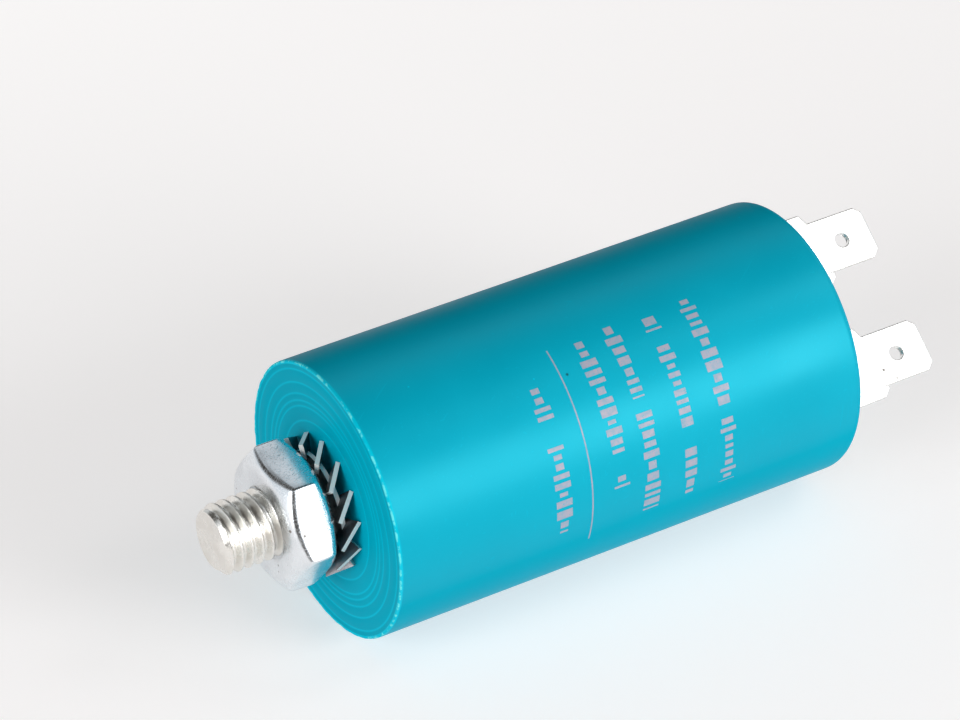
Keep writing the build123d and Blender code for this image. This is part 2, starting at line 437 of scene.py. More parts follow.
@dataclass(frozen=True)
class PrintInk:
    """Thin lilac-grey ink that lets the plastic show where it is worn."""

    name: str
    colour: Colour
    under: Colour
    cloud: float = 1500.0
    gap_span: Span = (0.55, 0.75)
    thinness: float = 0.35
    roughness: Span = (0.45, 0.6)
    bump: float = 0.1
    bump_depth: float = 0.01 * MM

    def build(self, effects: Effects) -> bpy.types.Material:
        """Make the material.

        Args:
            effects: The shared shader groups.

        Returns:
            The material.
        """
        material, graph, shader = new_material(self.name)
        wear_and_shade = effects.place(graph, effects.mottle, cloud=self.cloud, grain=Noise.FINE.value)
        gaps = graph.ramp(wear_and_shade["Height"], *self.gap_span)
        bare = graph.math("MAXIMUM", gaps, graph.math("MULTIPLY", wear_and_shade["Shade"], self.thinness))
        graph.feed(shader.inputs["Base Color"], graph.mix(bare, rgba(self.colour), rgba(self.under)))
        graph.feed(shader.inputs["Roughness"], graph.line(wear_and_shade["Shade"], 0.0, 1.0, *self.roughness))
        graph.bump(shader, self.bump, self.bump_depth, wear_and_shade["Height"])
        return material


@dataclass(frozen=True)
class InnerFinish:
    """Finish of a piece that is sealed inside the can."""

    name: str
    colour: Colour
    shade: Colour
    metallic: float
    roughness: float
    roughness_spread: float = 0.08
    grain_span: Span = (0.3, 0.7)
    bump: float = 0.3
    bump_depth: float = 0.03 * MM

    def build(self, effects: Effects) -> bpy.types.Material:
        """Make the material.

        Args:
            effects: The shared shader groups.

        Returns:
            The material.
        """
        material, graph, shader = new_material(self.name)
        mottle = effects.place(graph, effects.mottle, cloud=Noise.SMEAR.value, grain=Noise.GRAIN.value)
        graph.feed(shader.inputs["Base Color"], graph.mix(mottle["Shade"], rgba(self.shade), rgba(self.colour)))
        shader.inputs["Metallic"].default_value = self.metallic
        least, most = self.roughness - self.roughness_spread, self.roughness + self.roughness_spread
        graph.feed(shader.inputs["Roughness"], graph.line(mottle["Height"], *self.grain_span, least, most))
        graph.bump(shader, self.bump, self.bump_depth, mottle["Height"])
        return material


# Meshes


def new_piece(name: str, mesh: bpy.types.Mesh) -> bpy.types.Object:
    """Put a mesh in the scene.

    Args:
        name: The piece's name.
        mesh: Its mesh.

    Returns:
        The new piece.
    """
    piece = bpy.data.objects.new(name, mesh)
    bpy.context.scene.collection.objects.link(piece)
    return piece


def shade(mesh: bpy.types.Mesh, sharp: Sharp) -> None:
    """Draw a mesh smooth, with its sharp edges kept."""
    mesh.shade_smooth()
    mesh.set_sharp_from_angle(angle=math.radians(sharp.value))


def mesh_from(build: bmesh.types.BMesh, name: str, sharp: Sharp) -> bpy.types.Mesh:
    """Turn a bmesh into a closed mesh with its faces outwards.

    Args:
        build: The bmesh, which is freed.
        name: The mesh's name.
        sharp: How its edges are drawn.

    Returns:
        The mesh.
    """
    bmesh.ops.remove_doubles(build, verts=build.verts, dist=DOUBLE_GAP)
    bmesh.ops.recalc_face_normals(build, faces=build.faces)
    mesh = bpy.data.meshes.new(name)
    build.to_mesh(mesh)
    build.free()
    shade(mesh, sharp)
    return mesh


def finished(build: bmesh.types.BMesh, name: str, sharp: Sharp, finish: bpy.types.Material) -> bpy.types.Object:
    """Turn a bmesh into a piece with a finish.

    Args:
        build: The bmesh, which is freed.
        name: The piece's name.
        sharp: How its edges are drawn.
        finish: Its finish.

    Returns:
        The new piece.
    """
    mesh = mesh_from(build, name, sharp)
    mesh.materials.append(finish)
    return new_piece(name, mesh)


def baked(piece: bpy.types.Object) -> bpy.types.Mesh:
    """Keep what a piece's modifiers make of it, and remove them.

    Args:
        piece: The piece.

    Returns:
        A new plain mesh.
    """
    bpy.context.view_layer.update()
    depsgraph = bpy.context.evaluated_depsgraph_get()
    mesh = bpy.data.meshes.new_from_object(piece.evaluated_get(depsgraph))
    piece.modifiers.clear()
    return mesh


def rounded(points: Sequence[Point], radii: Sequence[float], steps: int = 5) -> list[Point]:
    """Round the corners of a closed outline.

    Args:
        points: The outline's corners.
        radii: The length that each corner's round takes from the sides beside it, or zero.
        steps: Steps in each round.

    Returns:
        The rounded outline.
    """
    outline: list[Point] = []
    count = len(points)
    for index, (corner, reach) in enumerate(zip(points, radii)):
        here = Vector(corner)
        if reach == 0:
            outline.append(corner)
            continue
        before = Vector(points[index - 1])
        after = Vector(points[(index + 1) % count])
        start = here + (before - here).normalized() * min(reach, (before - here).length / 2)
        end = here + (after - here).normalized() * min(reach, (after - here).length / 2)
        for step in range(steps + 1):
            share = step / steps
            point = start.lerp(here, share).lerp(here.lerp(end, share), share)
            outline.append((point.x, point.y))
    return outline


def ring_at(build: bmesh.types.BMesh, points: Iterable[Point], angle: float) -> list[bmesh.types.BMVert]:
    """Add points at an angle round the X axis.

    Args:
        build: The bmesh to add to.
        points: The points, as (x, radius).
        angle: The angle, in radians.

    Returns:
        The new points.
    """
    across, up = math.cos(angle), math.sin(angle)
    return [build.verts.new((x, r * across, r * up)) for x, r in points]


def bridge(build: bmesh.types.BMesh, rings: Sequence[list[bmesh.types.BMVert]]) -> None:
    """Join each closed ring of points to the next with faces.

    Args:
        build: The bmesh to add to.
        rings: The rings, each with as many points.
    """
    for ring, following in zip(rings, rings[1:]):
        for index in range(len(ring)):
            build.faces.new((ring[index - 1], ring[index], following[index], following[index - 1]))


def turned(build: bmesh.types.BMesh, outline_at: Callable[[float], Sequence[Point]], angles: Sequence[float]) -> None:
    """Turn a closed outline of (x, radius) points round the X axis.

    Args:
        build: The bmesh to add to.
        outline_at: Gives the outline at an angle, always with as many points.
        angles: The angles, in radians, once round.
    """
    rings = [ring_at(build, outline_at(angle), angle) for angle in angles]
    bridge(build, rings + rings[:1])


def even_angles(count: int) -> list[float]:
    """Return angles in radians, evenly spaced once round."""
    return [math.tau * index / count for index in range(count)]


def rod(start: float, end: float, radius: float) -> list[Point]:
    """Return the closed outline of a plain rod, as (x, radius) points."""
    return [(start, 0.0), (start, radius), (end, radius), (end, 0.0)]


@dataclass(frozen=True)
class EdgeStyle:
    """How a copied solid's hard edges are rounded and painted.

    The paint share is how far they show the finish's edge colour, which is rubbing on the lid and painted shade on the
    tabs' upward bevels, and rise is the least upward part that the normal of a painted edge has, from -1 to 1.
    """

    width: float
    sharp: Sharp
    wear_and_shade: float = 0.0
    rise: float = -1.0

    def refine(self, node: str, finish: bpy.types.Material) -> bpy.types.Object:
        """Copy a solid and round its edges.

        Args:
            node: The solid's name.
            finish: The copy's finish.

        Returns:
            The new piece.
        """
        build = bmesh.new()
        build.from_mesh(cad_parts[node].data)
        wear_and_painted_light = build.faces.layers.float.new("wear_and_painted_light")
        bmesh.ops.remove_doubles(build, verts=build.verts, dist=SOLID_DOUBLE_GAP)
        bmesh.ops.dissolve_limit(build, angle_limit=FLAT_ANGLE, verts=build.verts, edges=build.edges)
        hard = [edge for edge in build.edges if edge.is_manifold and edge.calc_face_angle(0) > HARD_ANGLE]
        made = bmesh.ops.bevel(
            build, geom=hard, offset=self.width, segments=2, affect="EDGES", profile=0.5, clamp_overlap=True
        )
        for face in made["faces"]:
            face.normal_update()
            # Bevel faces that rise enough take the edge colour; on the tabs this is painted shade.
            face[wear_and_painted_light] = self.wear_and_shade if face.normal.z >= self.rise else 0.0
        name = node + "_form"
        piece = new_piece(name, mesh_from(build, name, self.sharp))
        modifier = piece.modifiers.new("flat_faces", "WEIGHTED_NORMAL")
        modifier.weight = FLAT_WEIGHT
        modifier.keep_sharp = True
        rough_mesh = piece.data
        piece.data = baked(piece)
        bpy.data.meshes.remove(rough_mesh)
        piece.data.name = name
        piece.data.materials.clear()
        piece.data.materials.append(finish)
        return piece


# Geometry Nodes


def shape_tree(name: str, inputs: Iterable[str]) -> tuple[Graph, dict[str, bpy.types.NodeSocket], bpy.types.Node]:
    """Start a Geometry Nodes tree with value inputs and a material.

    Args:
        name: The tree's name.
        inputs: The names of its sizes.

    Returns:
        Its graph, its input sockets by name and its output node.
    """
    tree = bpy.data.node_groups.new(name, "GeometryNodeTree")
    tree.is_modifier = True
    tree.interface.new_socket("Shape", in_out="OUTPUT", socket_type="NodeSocketGeometry")
    for size in inputs:
        tree.interface.new_socket(size, in_out="INPUT", socket_type="NodeSocketFloat")
    tree.interface.new_socket("Finish", in_out="INPUT", socket_type="NodeSocketMaterial")
    graph = Graph(tree)
    entry = graph.add("NodeGroupInput")
    return graph, {socket.name: socket for socket in entry.outputs if socket.name}, graph.add("NodeGroupOutput")


def end_shape(graph: Graph, end: bpy.types.Node, shape: bpy.types.Node, finish: bpy.types.NodeSocket) -> None:
    """End a tree with a real shape that wears a finish.

    Args:
        graph: The tree's graph.
        end: Its output node.
        shape: The node that makes the shape.
        finish: The finish's input socket.
    """
    real = graph.add("GeometryNodeRealizeInstances", {"Geometry": shape.outputs[0]})
    dressed = graph.add("GeometryNodeSetMaterial", {"Geometry": real.outputs[0], "Material": finish})
    graph.feed(end.inputs[0], dressed.outputs[0])


def grown(name: str, tree: bpy.types.NodeTree, values: dict[str, object], sharp: Sharp) -> bpy.types.Mesh:
    """Run a Geometry Nodes tree and keep its result as a plain mesh.

    Args:
        name: The mesh's name.
        tree: The tree.
        values: Its inputs by name.
        sharp: How the mesh's edges are drawn.

    Returns:
        The mesh.
    """
    host = new_piece(name + "_host", bpy.data.meshes.new(name + "_host"))
    modifier = host.modifiers.new("shape", "NODES")
    modifier.node_group = tree
    for item in tree.interface.items_tree:
        if item.name in values:
            modifier[item.identifier] = values[item.name]
    mesh = baked(host)
    bpy.data.objects.remove(host)
    build = bmesh.new()
    build.from_mesh(mesh)
    result = mesh_from(build, name, sharp)
    result.materials.append(values["Finish"])
    bpy.data.meshes.remove(mesh)
    return result


def thread_tree(rows: int, columns: int) -> bpy.types.NodeTree:
    """A right-hand thread on a rod along X, closed at both ends.

    Args:
        rows: Rows of points along the rod.
        columns: Points once round it.

    Returns:
        The tree.
    """
    sizes = ("Start", "End", "Pitch", "Outer Radius", "Root Radius", "Tip Radius", "Tip Length")
    graph, given, end = shape_tree("rolled_thread", sizes)
    grid = graph.add("GeometryNodeMeshGrid", {0: 1.0, 1: 1.0, 2: rows, 3: columns})
    place = graph.add("ShaderNodeSeparateXYZ", {0: graph.add("GeometryNodeInputPosition").outputs[0]})
    along = graph.math("ADD", place.outputs[0], 0.5)
    around = graph.math("ADD", place.outputs[1], 0.5)
    row = 1.0 / (rows - 1)
    x = graph.line(along, row, 1.0 - row, given["Start"], given["End"])
    turns = graph.math("DIVIDE", x, given["Pitch"])
    phase = graph.math("FRACT", graph.math("SUBTRACT", turns, around))
    slope = graph.math("ABSOLUTE", graph.math("SUBTRACT", graph.math("MULTIPLY", phase, 2.0), 1.0))
    flank = graph.line(slope, *THREAD_FLANK, 0.0, 1.0)
    radius = graph.line(flank, 0.0, 1.0, given["Outer Radius"], given["Root Radius"])
    past = graph.math("SUBTRACT", x, given["Start"])
    tip = graph.line(past, 0.0, given["Tip Length"], given["Tip Radius"], given["Outer Radius"])
    radius = graph.math("MINIMUM", radius, tip)
    inside = graph.math("LESS_THAN", graph.math("ABSOLUTE", place.outputs[0]), 0.5 - row / 2)
    radius = graph.math("MULTIPLY", radius, inside)
    angle = graph.math("MULTIPLY", around, math.tau)
    y = graph.math("MULTIPLY", radius, graph.math("COSINE", angle))
    z = graph.math("MULTIPLY", radius, graph.math("SINE", angle))
    moved = graph.add("ShaderNodeCombineXYZ", {0: x, 1: y, 2: z})
    placed = graph.add("GeometryNodeSetPosition", {"Geometry": grid.outputs[0], "Position": moved.outputs[0]})
    merge = {"Geometry": placed.outputs[0], "Distance": THREAD_DOUBLE_GAP}
    end_shape(graph, end, graph.add("GeometryNodeMergeByDistance", merge), given["Finish"])
    return graph.tree


def washer_tree(teeth: int) -> bpy.types.NodeTree:
    """A flat ring round X with teeth that twist about their own length.

    Args:
        teeth: How many teeth.

    Returns:
        The tree.
    """
    sizes = ("Middle", "Sheet", "Ring Outer", "Ring Inner", "Tooth Root", "Tooth Reach", "Root Width", "Tip Width")
    sizes += ("Twist", "Turn")
    graph, given, end = shape_tree("tooth_washer", sizes)
    length = graph.math("SUBTRACT", given["Tooth Reach"], given["Tooth Root"])
    size = graph.add("ShaderNodeCombineXYZ", {0: given["Sheet"], 1: 1.0, 2: 1.0})
    plate = graph.add("GeometryNodeMeshCube", {0: size.outputs[0], 1: 2, 2: TOOTH_STEPS, 3: TOOTH_STEPS})
    place = graph.add("ShaderNodeSeparateXYZ", {0: graph.add("GeometryNodeInputPosition").outputs[0]})
    out = graph.math("ADD", place.outputs[1], 0.5)
    reach = graph.math("ADD", given["Tooth Root"], graph.math("MULTIPLY", out, length))
    width = graph.line(out, 0.0, 1.0, given["Root Width"], given["Tip Width"])
    side = graph.math("MULTIPLY", place.outputs[2], width)
    shaped = graph.add("ShaderNodeCombineXYZ", {0: place.outputs[0], 1: reach, 2: side})
    tapered = graph.add("GeometryNodeSetPosition", {"Geometry": plate.outputs[0], "Position": shaped.outputs[0]})
    twist = graph.math("MULTIPLY", given["Twist"], graph.ramp(out, *TWIST_SPAN))
    twisted = graph.add(
        "ShaderNodeVectorRotate",
        {"Vector": graph.add("GeometryNodeInputPosition").outputs[0], "Angle": twist},
        rotation_type="Y_AXIS",
    )
    bent = graph.add("GeometryNodeSetPosition", {"Geometry": tapered.outputs[0], "Position": twisted.outputs[0]})
    spots = graph.add("GeometryNodeMeshLine", {"Count": teeth}, mode="OFFSET")
    index = graph.add("GeometryNodeInputIndex").outputs[0]
    turn = graph.math("ADD", graph.math("MULTIPLY", index, math.tau / teeth), given["Turn"])
    facing = graph.add("ShaderNodeCombineXYZ", {0: turn})
    at = graph.add("ShaderNodeCombineXYZ", {0: given["Middle"]})
    lined = graph.add("GeometryNodeSetPosition", {"Geometry": spots.outputs[0], "Position": at.outputs[0]})
    copies = graph.add(
        "GeometryNodeInstanceOnPoints",
        {"Points": lined.outputs[0], "Instance": bent.outputs[0], "Rotation": facing.outputs[0]},
    )
    middle_radius = graph.math("MULTIPLY", graph.math("ADD", given["Ring Outer"], given["Ring Inner"]), 0.5)
    ring_width = graph.math("SUBTRACT", given["Ring Outer"], given["Ring Inner"])
    circle = graph.add("GeometryNodeCurvePrimitiveCircle", {"Resolution": RING_STEPS, "Radius": middle_radius})
    section = graph.add("GeometryNodeCurvePrimitiveQuadrilateral", {"Width": ring_width, "Height": given["Sheet"]})
    ring = graph.add("GeometryNodeCurveToMesh", {"Curve": circle.outputs[0], "Profile Curve": section.outputs[0]})
    upright = graph.add(
        "GeometryNodeTransform",
        {"Geometry": ring.outputs[0], "Translation": at.outputs[0], "Rotation": (0.0, math.pi / 2, 0.0)},
    )
    both = graph.add("GeometryNodeJoinGeometry")
    graph.tree.links.new(copies.outputs[0], both.inputs[0])
    graph.tree.links.new(upright.outputs[0], both.inputs[0])
    end_shape(graph, end, both, given["Finish"])
    return graph.tree


# Sub-assemblies


def stand_for(piece: bpy.types.Object, node: str) -> None:
    """Let a piece stand for a solid.

    Args:
        piece: The piece.
        node: The solid's name.
    """
    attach(piece, BODY)
    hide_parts(node)
    LOG.info("%s: %d faces", piece.name, len(piece.data.polygons))


@dataclass
class Can:
    """The moulded cup, with turned rings in its end face and a burred edge round it.

    The edge's points are (x, depth below the side, paleness), with lengths in millimetres; the edge's paleness is
    partly whitened burr and partly painted highlight, and the grooves carry painted highlight lines.
    """

    finish: bpy.types.Material
    rim_wall: float = 1.7 * MM
    lid_ledge: float = 0.5 * MM
    base: float = 3.0 * MM
    boss_top: float = 6.0 * MM
    boss_radius: float = 9.16 * MM
    hole_radius: float = 3.644 * MM
    rim_outer_round: float = 0.9 * MM
    rim_inner_round: float = 0.5 * MM
    groove_width: float = 0.45 * MM
    groove_depth: float = 0.05 * MM
    # Each groove's bottom is painted pale: a painted highlight line.
    groove_painted_highlight: float = 0.26
    groove_shares: tuple[float, ...] = (0.57, 0.675, 0.715, 0.765, 0.845, 0.94)
    # The edge's paleness is partly stress-whitened burr and partly painted highlight.
    worn_edge_and_highlight: tuple[tuple[float, float, float], ...] = (
        (0.0, 0.430, 0.0),
        (-0.024, 0.304, 0.6),
        (-0.042, 0.165, 0.85),
        (-0.018, 0.088, 1.0),
        (0.099, 0.0176, 0.8),
        (0.198, 0.0, 0.25),
        (0.396, 0.0, 0.0),
    )
    rough_wear: float = 0.3
    rough_along: float = 0.05 * MM
    rough_across: float = 0.03 * MM
    rough_scales: Span = (900.0, 2600.0)
    rough_fine: float = 0.6
    segments: int = 288
    round_steps: int = 8

    def outline(self) -> list[tuple[float, float, float]]:
        """Draw the closed outline.

        Returns:
            Its points, as (x, radius, paleness).
        """
        high = NODE_BOX["can"][1]
        end, radius = high.x, high.z
        lid_bottom = NODE_BOX["lid"][0].x
        mouth = radius - self.rim_wall
        bore = mouth - self.lid_ledge
        points = [(0.0, self.hole_radius, 0.0)]
        for share in self.groove_shares:
            middle = share * radius
            half = self.groove_width / 2
            points += [
                (0.0, middle - half, 0.0),
                (self.groove_depth, middle, self.groove_painted_highlight),
                (0.0, middle + half, 0.0),
            ]
        points += [(x * MM, radius - depth * MM, wear_and_painted_light) for x, depth, wear_and_painted_light in self.worn_edge_and_highlight]
        rim = rounded(
            [(end - 6 * self.rim_outer_round, radius), (end, radius), (end, mouth), (lid_bottom, mouth)],
            [0.0, self.rim_outer_round, self.rim_inner_round, 0.0],
            self.round_steps,
        )
        points += [(x, r, 0.0) for x, r in rim]
        points += [
            (lid_bottom, bore, 0.0),
            (self.base, bore, 0.0),
            (self.base, self.boss_radius, 0.0),
            (self.boss_top, self.boss_radius, 0.0),
            (self.boss_top, self.hole_radius, 0.0),
        ]
        return points

    def build(self) -> bpy.types.Object:
        """Turn the outline and roughen its burred edge.

        Returns:
            The shell.
        """
        coarse, fine = self.rough_scales
        outline = self.outline()
        profile = [(x, r) for x, r, _ in outline]
        build = bmesh.new()
        wear_and_light_layer = build.verts.layers.float.new("wear_and_painted_light")
        turned(build, lambda angle: profile, even_angles(self.segments))
        build.verts.ensure_lookup_table()
        for index, vertex in enumerate(build.verts):
            wear_and_painted_light = outline[index % len(outline)][2]
            if wear_and_painted_light > self.rough_wear:
                outwards = Vector((0.0, vertex.co.y, vertex.co.z)).normalized()
                rough = noise.noise(vertex.co * coarse) + self.rough_fine * noise.noise(vertex.co * fine)
                vertex.co.x += self.rough_along * rough
                vertex.co -= outwards * max(0.0, self.rough_across * rough)
            vertex[wear_and_light_layer] = wear_and_painted_light
        return finished(build, "can_shell", Sharp.TURNED, self.finish)

    def dress(self) -> None:
        """Build the shell and let it stand for the can."""
        stand_for(self.build(), "can")


@dataclass
class PrintedMarks:
    """Rows of plain blocks and a rule where the can is printed."""

    finish: bpy.types.Material
    proud: float = 0.012 * MM
    depth: float = 0.05 * MM
    step_degrees: float = 1.5
    rule_place: float = 24.2 * MM
    rule_width: float = 0.16 * MM
    rule_span: Span = (113.0, 198.0)
    block_height: float = 2.0 * MM
    block_shares: tuple[float, ...] = (0.5, 0.75, 1.0)
    block_degrees: Span = (1.5, 4.0)
    gap_degrees: float = 1.6
    seed: int = 7
    rows: tuple[tuple[float, tuple[Span, ...]], ...] = (
        (20.6 * MM, ((126.0, 139.0), (150.0, 188.0))),
        (28.0 * MM, ((114.0, 161.0), (171.0, 176.0))),
        (32.0 * MM, ((112.0, 143.0), (149.0, 193.0))),
        (37.0 * MM, ((114.0, 120.0), (127.0, 161.0), (170.0, 193.0))),
        (42.0 * MM, ((112.0, 158.0), (163.0, 193.0))),
    )

    def strip(self, build: bmesh.types.BMesh, low: float, high: float, span: Span) -> None:
        """Add one thin strip wrapped on the can.

        Args:
            build: The bmesh to add to.
            low: Its lowest place along X.
            high: Its highest place along X.
            span: Its first and last angle, in degrees.
        """
        radius = NODE_BOX["can"][1].z
        inner, outer = radius - self.depth, radius + self.proud
        corners = ((low, inner), (low, outer), (high, outer), (high, inner))
        first, last = span
        steps = max(1, round((last - first) / self.step_degrees))
        angles = [math.radians(first + (last - first) * step / steps) for step in range(steps + 1)]
        rings = [ring_at(build, corners, angle) for angle in angles]
        bridge(build, rings)
        build.faces.new(rings[0])
        build.faces.new(rings[-1][::-1])

    def build(self) -> bpy.types.Object:
        """Lay the rule and the rows of blocks.

        Returns:
            All the marks as one piece.
        """
        build = bmesh.new()
        half = self.rule_width / 2
        self.strip(build, self.rule_place - half, self.rule_place + half, self.rule_span)
        chance = random.Random(self.seed)
        for place, spans in self.rows:
            for first, last in spans:
                start = first
                while start < last:
                    end = min(last, start + chance.uniform(*self.block_degrees))
                    rise = self.block_height * chance.choice(self.block_shares) / 2
                    self.strip(build, place - rise, place + rise, (start, end))
                    start = end + self.gap_degrees
        return finished(build, "printed_marks", Sharp.TURNED, self.finish)

    def dress(self) -> None:
        """Build the marks and let them ride on the part."""
        piece = self.build()
        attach(piece, BODY)
        LOG.info("%s: %d faces", piece.name, len(piece.data.polygons))


@dataclass
class Stud:
    """The threaded stud, its plain shank and the head inside the can."""

    finish: bpy.types.Material
    pitch: float = 1.25 * MM
    outer_radius: float = 4.0 * MM
    root_radius: float = 3.26 * MM
    shank_radius: float = 3.594 * MM
    tip_radius: float = 3.45 * MM
    tip_length: float = 0.75 * MM
    head_across: float = 13.0 * MM
    head_start: float = 3.0 * MM
    head_sides: int = 6
    shank_steps: int = 48
    rows: int = 170
    columns: int = 144

    def build(self) -> bpy.types.Object:
        """Grow the thread, then add the shank and the head.

        Returns:
            The stud.
        """
        low, high = NODE_BOX["stud"]
        thread_end = NODE_BOX["hex_nut"][0].x + self.pitch
        values = {
            "Start": low.x,
            "End": thread_end,
            "Pitch": self.pitch,
            "Outer Radius": self.outer_radius,
            "Root Radius": self.root_radius,
            "Tip Radius": self.tip_radius,
            "Tip Length": self.tip_length,
            "Finish": self.finish,
        }
        thread = grown("stud_thread", thread_tree(self.rows, self.columns), values, Sharp.THREAD)
        build = bmesh.new()
        build.from_mesh(thread)
        shank = rod(thread_end - self.pitch / 2, self.head_start, self.shank_radius)
        turned(build, lambda angle: shank, even_angles(self.shank_steps))
        head = rod(self.head_start, high.x, self.head_across / 2 / math.cos(math.pi / self.head_sides))
        turned(build, lambda angle: head, even_angles(self.head_sides))
        bpy.data.meshes.remove(thread)
        return finished(build, "threaded_stud", Sharp.THREAD, self.finish)

    def dress(self) -> None:
        """Build the stud and let it stand for its solid."""
        stand_for(self.build(), "stud")


@dataclass
class HexNut:
    """The hexagon nut, with a cone turned on each face and softened edges."""

    finish: bpy.types.Material
    across: float = 14.6 * MM
    turn_degrees: float = 64.0
    face_share: float = 0.877
    chamfer_degrees: float = 30.0
    mouth_radius: float = 4.25 * MM
    bore_radius: float = 3.644 * MM
    corner_round: float = 0.40 * MM
    edge_round: float = 0.55 * MM
    flat_steps: int = 18
    corner_steps: int = 8
    round_steps: int = 4
    sides: int = 6

    @property
    def sector(self) -> float:
        """Return the angle that one side takes."""
        return math.tau / self.sides

    @property
    def flat_half(self) -> float:
        """Return the angle from the middle of a flat to where the round of its corner starts."""
        half = self.across / 2
        return math.atan((half - self.corner_round) * math.tan(self.sector / 2) / half)

    def angles(self) -> list[float]:
        """Spread the outline's points round the nut, closer together at the corners.

        Returns:
            Their angles, in radians.
        """
        flat = self.flat_half
        gap = self.sector - 2 * flat
        spread: list[float] = []
        for side in range(self.sides):
            middle = math.radians(self.turn_degrees) + self.sector * (side + 0.5)
            spread += [middle - flat + 2 * flat * step / self.flat_steps for step in range(self.flat_steps)]
            spread += [middle + flat + gap * step / self.corner_steps for step in range(self.corner_steps)]
        return spread

    def radius_at(self, angle: float) -> float:
        """Work out the hexagon's radius, with its corners rounded.

        Args:
            angle: Where, in radians.

        Returns:
            The radius there.
        """
        half = self.across / 2
        off = (angle - math.radians(self.turn_degrees)) % self.sector - self.sector / 2
        if abs(off) <= self.flat_half:
            return half / math.cos(off)
        centre = (half - self.corner_round) / math.cos(self.sector / 2)
        side = self.sector / 2 - abs(off)
        return centre * math.cos(side) + math.sqrt(self.corner_round**2 - (centre * math.sin(side)) ** 2)

    def outline(self, angle: float) -> list[Point]:
        """Draw the nut's closed section.

        Args:
            angle: Where, in radians.

        Returns:
            Its (x, radius) points there.
        """
        low, high = NODE_BOX["hex_nut"]
        front, back = low.x, high.x
        face = self.face_share * self.across / 2
        wide = self.radius_at(angle)
        cone = (wide - face) * math.tan(math.radians(self.chamfer_degrees))
        mouth = self.mouth_radius - self.bore_radius
        corners = [
            (front, self.mouth_radius),
            (front, face),
            (front + cone, wide),
            (back - cone, wide),
            (back, face),
            (back, self.mouth_radius),
            (back - mouth, self.bore_radius),
            (front + mouth, self.bore_radius),
        ]
        return rounded(corners, 6 * [self.edge_round] + 2 * [0.0], self.round_steps)

    def build(self) -> bpy.types.Object:
        """Turn the changing section once round.

        Returns:
            The nut.
        """
        build = bmesh.new()
        turned(build, self.outline, self.angles())
        return finished(build, "nut_body", Sharp.TURNED, self.finish)

    def dress(self) -> None:
        """Build the nut and let it stand for its solid."""
        stand_for(self.build(), "hex_nut")


@dataclass
class ToothWasher:
    """The lock washer with twisted teeth."""

    finish: bpy.types.Material
    teeth: int = 14
    twist_degrees: float = 38.0
    turn_degrees: float = 124.0
    tip_width: float = 3.7 * MM
    root_width: float = 2.4 * MM
    reach: float = 7.75 * MM
    root: float = 5.7 * MM
    sheet: float = 0.5 * MM
    ring_outer: float = 6.2 * MM
    ring_inner: float = 4.2 * MM
    edge_share: float = 0.7

    def build(self) -> bpy.types.Object:
        """Grow the washer and paint the edge faces of its sheet pale, as painted highlight.

        Returns:
            The washer.
        """
        low, high = NODE_BOX["tooth_washer"]
        values = {
            "Middle": (low.x + high.x) / 2,
            "Sheet": self.sheet,
            "Ring Outer": self.ring_outer,
            "Ring Inner": self.ring_inner,
            "Tooth Root": self.root,
            "Tooth Reach": self.reach,
            "Root Width": self.root_width,
            "Tip Width": self.tip_width,
            "Twist": -math.radians(self.twist_degrees),
            "Turn": math.radians(self.turn_degrees),
            "Finish": self.finish,
        }
        mesh = grown("lock_washer", washer_tree(self.teeth), values, Sharp.FOLDED)
        # Faces across the sheet take the finish's pale edge colour: a painted highlight where the teeth catch light.
        wear_and_painted_light = mesh.attributes.new("wear_and_painted_light", "FLOAT", "FACE")
        for face in mesh.polygons:
            wear_and_painted_light.data[face.index].value = float(abs(face.normal.x) < self.edge_share)
        return new_piece("lock_washer", mesh)

    def dress(self) -> None:
        """Build the washer and let it stand for its solid."""
        stand_for(self.build(), "tooth_washer")


@dataclass
class TerminalEnd:
    """The lid, the folded terminals and their rivets."""

    plastic: bpy.types.Material
    tin: bpy.types.Material
    rivet_tin: bpy.types.Material
    lid_edge: EdgeStyle = EdgeStyle(0.12 * MM, Sharp.TURNED, wear_and_shade=0.2)
    # The tabs' upward bevels take a dark edge colour: painted shade where they face away from the light.
    sheet_edge: EdgeStyle = EdgeStyle(0.30 * MM, Sharp.FOLDED, wear_and_shade=1.0, rise=0.8)
    rivet_edge: EdgeStyle = EdgeStyle(0.05 * MM, Sharp.TURNED)

    def dress(self) -> None:
        """Round the edges of each solid's copy and let it stand for the solid."""
        parts = (
            ("lid", "lid_plastic", self.plastic, self.lid_edge),
            ("terminal_lower", "tinned_sheet", self.tin, self.sheet_edge),
            ("terminal_upper", "tinned_sheet", self.tin, self.sheet_edge),
            ("rivet_lower", "rivet_tin", self.rivet_tin, self.rivet_edge),
            ("rivet_upper", "rivet_tin", self.rivet_tin, self.rivet_edge),
        )
        for node, slot, finish, edge in parts:
            stand_for(edge.refine(node, finish), node)


@dataclass
class Element:
    """The wound element and what is sealed in with it, whose solids stay as they are."""

    finishes: dict[str, InnerFinish]

    def dress(self, effects: Effects) -> None:
        """Give each inner solid its finish.

        Args:
            effects: The shared shader groups.
        """
        made: dict[str, bpy.types.Material] = {}
        for node, finish in self.finishes.items():
            if finish.name not in made:
                made[finish.name] = finish.build(effects)
            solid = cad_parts[node]
            for slot in solid.material_slots:
                slot.material = made[finish.name]
            LOG.info("%s: %s", node, finish.name)


# Studio


